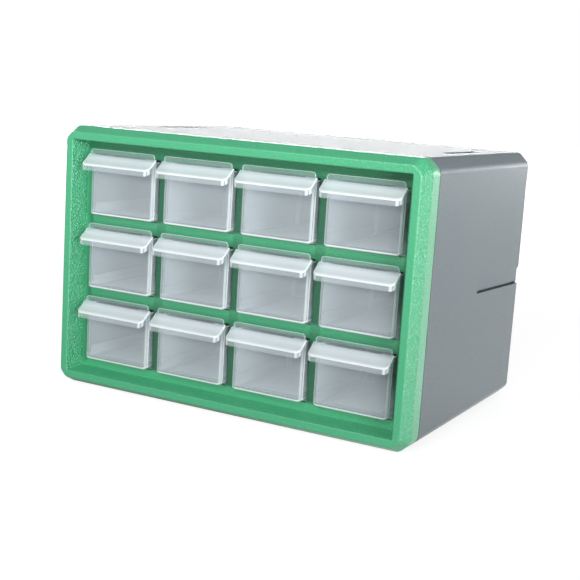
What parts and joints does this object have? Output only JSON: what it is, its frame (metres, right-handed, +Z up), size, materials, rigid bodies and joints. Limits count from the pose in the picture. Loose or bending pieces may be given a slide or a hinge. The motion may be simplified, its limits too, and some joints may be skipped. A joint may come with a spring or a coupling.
{
  "type": "small parts cabinet",
  "caption": "Boxy bench or wall cabinet with a grey cut-corner shell, a green front frame and rows of clear slide-out drawers with sloped finger pulls, for sorting small parts.",
  "frame": {"origin": "middle of the base, on the surface that the cabinet stands on", "axes": "+Z up, drawers face and open towards -Y, +X to the right seen from the front"},
  "size_m": [0.3, 0.215, 0.2],
  "materials": {
    "frame_green": "fine grain, satin",
    "shell_grey": "fine grain, matt",
    "rack_grey": "plain, matt",
    "drawer_clear": "clear, slightly clouded, glossy edges"
  },
  "bodies": {
    "cabinet": {"front_frame": "frame_green", "shell": "shell_grey", "shelf_bottom": "rack_grey", "shelf_lower": "rack_grey", "shelf_upper": "rack_grey", "partition_left": "rack_grey", "partition_middle": "rack_grey", "partition_right": "rack_grey"},
    "drawer_r1c1": {"drawer_r1c1": "drawer_clear"},
    "drawer_r1c2": {"drawer_r1c2": "drawer_clear"},
    "drawer_r1c3": {"drawer_r1c3": "drawer_clear"},
    "drawer_r1c4": {"drawer_r1c4": "drawer_clear"},
    "drawer_r2c1": {"drawer_r2c1": "drawer_clear"},
    "drawer_r2c2": {"drawer_r2c2": "drawer_clear"},
    "drawer_r2c3": {"drawer_r2c3": "drawer_clear"},
    "drawer_r2c4": {"drawer_r2c4": "drawer_clear"},
    "drawer_r3c1": {"drawer_r3c1": "drawer_clear"},
    "drawer_r3c2": {"drawer_r3c2": "drawer_clear"},
    "drawer_r3c3": {"drawer_r3c3": "drawer_clear"},
    "drawer_r3c4": {"drawer_r3c4": "drawer_clear"}
  },
  "joints": [
    {"name": "drawer_r1c1_slide", "type": "slide", "parent": "cabinet", "child": "drawer_r1c1", "axis": [0, -1, 0], "range_m": [0, 0.15]},
    {"name": "drawer_r1c2_slide", "type": "slide", "parent": "cabinet", "child": "drawer_r1c2", "axis": [0, -1, 0], "range_m": [0, 0.15]},
    {"name": "drawer_r1c3_slide", "type": "slide", "parent": "cabinet", "child": "drawer_r1c3", "axis": [0, -1, 0], "range_m": [0, 0.15]},
    {"name": "drawer_r1c4_slide", "type": "slide", "parent": "cabinet", "child": "drawer_r1c4", "axis": [0, -1, 0], "range_m": [0, 0.15]},
    {"name": "drawer_r2c1_slide", "type": "slide", "parent": "cabinet", "child": "drawer_r2c1", "axis": [0, -1, 0], "range_m": [0, 0.15]},
    {"name": "drawer_r2c2_slide", "type": "slide", "parent": "cabinet", "child": "drawer_r2c2", "axis": [0, -1, 0], "range_m": [0, 0.15]},
    {"name": "drawer_r2c3_slide", "type": "slide", "parent": "cabinet", "child": "drawer_r2c3", "axis": [0, -1, 0], "range_m": [0, 0.15]},
    {"name": "drawer_r2c4_slide", "type": "slide", "parent": "cabinet", "child": "drawer_r2c4", "axis": [0, -1, 0], "range_m": [0, 0.15]},
    {"name": "drawer_r3c1_slide", "type": "slide", "parent": "cabinet", "child": "drawer_r3c1", "axis": [0, -1, 0], "range_m": [0, 0.15]},
    {"name": "drawer_r3c2_slide", "type": "slide", "parent": "cabinet", "child": "drawer_r3c2", "axis": [0, -1, 0], "range_m": [0, 0.15]},
    {"name": "drawer_r3c3_slide", "type": "slide", "parent": "cabinet", "child": "drawer_r3c3", "axis": [0, -1, 0], "range_m": [0, 0.15]},
    {"name": "drawer_r3c4_slide", "type": "slide", "parent": "cabinet", "child": "drawer_r3c4", "axis": [0, -1, 0], "range_m": [0, 0.15]}
  ]
}
